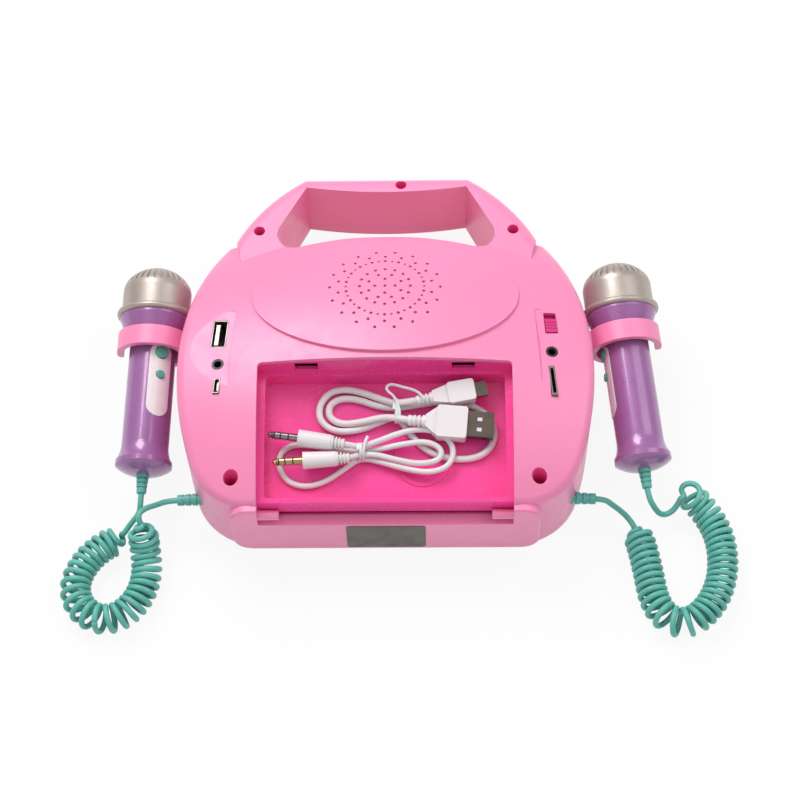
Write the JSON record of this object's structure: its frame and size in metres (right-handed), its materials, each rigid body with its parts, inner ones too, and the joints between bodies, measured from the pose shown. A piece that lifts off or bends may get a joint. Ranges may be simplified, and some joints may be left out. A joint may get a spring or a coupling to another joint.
{
  "type": "portable karaoke player with two wired microphones",
  "caption": "Portable karaoke player lying on its front: arched carrying handle, clip-held microphones on curly cords, open rear storage bay with stored cables, vent and port panels.",
  "frame": {"origin": "On the plane that the front face rests on, under the middle of the machine and its clipped microphones, without the cords.", "axes": "+Z out of the back of the machine, +Y towards the carrying handle, +X to the right seen from behind. The machine lies on its front face; stood on its base plinth, +Y is up."},
  "size_m": [0.3112, 0.2268, 0.0717],
  "materials": {
    "pink_plastic": "satin moulded",
    "bay_plastic": "satin moulded",
    "magenta_plastic": "satin moulded",
    "white_plastic": "smooth",
    "translucent_ring": "frosted",
    "speaker_mesh": "painted",
    "zinc_steel": "plated",
    "paper_cone": "matt",
    "black_plastic": "matt",
    "circuit_board": "lacquered",
    "cell_sleeve": "shrink sleeve",
    "purple_plastic": "satin moulded",
    "teal_buttons": "smooth",
    "champagne_metal": "metallic lacquer",
    "teal_cord": "satin sleeve"
  },
  "bodies": {
    "housing": {"card_slot": "zinc_steel", "cell": "cell_sleeve", "clip_left": "pink_plastic", "clip_right": "pink_plastic", "control_fascia": "white_plastic", "cord_left_coil": "teal_cord", "cord_left_gland_lead": "teal_cord", "cord_left_mic_lead": "teal_cord", "cord_right_coil": "teal_cord", "cord_right_gland_lead": "teal_cord", "cord_right_mic_lead": "teal_cord", "front_shell": "pink_plastic", "gland_left": "teal_cord", "gland_right": "teal_cord", "housing_screws": "zinc_steel", "jack_socket_left": "black_plastic", "jack_socket_right": "black_plastic", "light_ring": "translucent_ring", "main_board": "circuit_board", "micro_usb_socket": "zinc_steel", "port_board_left": "circuit_board", "port_board_right": "circuit_board", "rear_shell": "pink_plastic", "speaker_cone": "paper_cone", "speaker_frame": "zinc_steel", "speaker_grille": "speaker_mesh", "storage_bay": "bay_plastic", "switch_body": "black_plastic", "usb_a_socket": "zinc_steel"},
    "mic_left": {"mic_left_barrel": "purple_plastic", "mic_left_grille": "champagne_metal", "mic_left_flange": "champagne_metal", "mic_left_capsule": "black_plastic", "mic_left_panel": "white_plastic", "mic_left_relief": "teal_cord"},
    "mic_left_large_button": {"mic_left_button_large": "teal_buttons"},
    "mic_left_small_button": {"mic_left_button_small": "teal_buttons"},
    "mic_right": {"mic_right_barrel": "purple_plastic", "mic_right_grille": "champagne_metal", "mic_right_flange": "champagne_metal", "mic_right_capsule": "black_plastic", "mic_right_panel": "white_plastic", "mic_right_relief": "teal_cord"},
    "mic_right_large_button": {"mic_right_button_large": "teal_buttons"},
    "mic_right_small_button": {"mic_right_button_small": "teal_buttons"},
    "front_key_1": {"key_1": "white_plastic"},
    "front_key_2": {"key_2": "white_plastic"},
    "front_key_3": {"key_3": "white_plastic"},
    "front_key_4": {"key_4": "white_plastic"},
    "front_key_5": {"key_5": "white_plastic"},
    "power_switch": {"switch_knob": "magenta_plastic"},
    "stored_cables": {"usb_hank": "white_plastic", "usb_a_plug": "white_plastic", "micro_usb_plug": "white_plastic", "audio_hank": "white_plastic", "audio_plug_1": "white_plastic", "audio_plug_2": "white_plastic", "cable_ties": "white_plastic"}
  },
  "joints": [
    {"name": "mic_left_lift", "type": "slide", "parent": "housing", "child": "mic_left", "axis": [0.0381, 0.9928, 0.1131], "range_m": [0, 0.12]},
    {"name": "mic_left_large_press", "type": "slide", "parent": "mic_left", "child": "mic_left_large_button", "axis": [-0.5141, 0.1166, -0.8498], "range_m": [0, 0.0008], "stiffness_N_per_m": 600, "springref_m": -0.0005},
    {"name": "mic_left_small_press", "type": "slide", "parent": "mic_left", "child": "mic_left_small_button", "axis": [-0.5141, 0.1166, -0.8498], "range_m": [0, 0.0008], "stiffness_N_per_m": 600, "springref_m": -0.0005},
    {"name": "mic_right_lift", "type": "slide", "parent": "housing", "child": "mic_right", "axis": [-0.1039, 0.9882, 0.1126], "range_m": [0, 0.12]},
    {"name": "mic_right_large_press", "type": "slide", "parent": "mic_right", "child": "mic_right_large_button", "axis": [0.9908, 0.1127, -0.0749], "range_m": [0, 0.0008], "stiffness_N_per_m": 600, "springref_m": -0.0005},
    {"name": "mic_right_small_press", "type": "slide", "parent": "mic_right", "child": "mic_right_small_button", "axis": [0.9908, 0.1127, -0.0749], "range_m": [0, 0.0008], "stiffness_N_per_m": 600, "springref_m": -0.0005},
    {"name": "front_key_1_press", "type": "slide", "parent": "housing", "child": "front_key_1", "axis": [0, 0, 1], "range_m": [0, 0.0008], "stiffness_N_per_m": 600, "springref_m": -0.0005},
    {"name": "front_key_2_press", "type": "slide", "parent": "housing", "child": "front_key_2", "axis": [0, 0, 1], "range_m": [0, 0.0008], "stiffness_N_per_m": 600, "springref_m": -0.0005},
    {"name": "front_key_3_press", "type": "slide", "parent": "housing", "child": "front_key_3", "axis": [0, 0, 1], "range_m": [0, 0.0008], "stiffness_N_per_m": 600, "springref_m": -0.0005},
    {"name": "front_key_4_press", "type": "slide", "parent": "housing", "child": "front_key_4", "axis": [0, 0, 1], "range_m": [0, 0.0008], "stiffness_N_per_m": 600, "springref_m": -0.0005},
    {"name": "front_key_5_press", "type": "slide", "parent": "housing", "child": "front_key_5", "axis": [0, 0, 1], "range_m": [0, 0.0008], "stiffness_N_per_m": 600, "springref_m": -0.0005},
    {"name": "power_switch_slide", "type": "slide", "parent": "housing", "child": "power_switch", "axis": [-0.0786, 0.9952, -0.0585], "range_m": [0, 0.0032]},
    {"name": "stored_cables_lift", "type": "slide", "parent": "housing", "child": "stored_cables", "axis": [0, 0, 1], "range_m": [0, 0.06]}
  ]
}
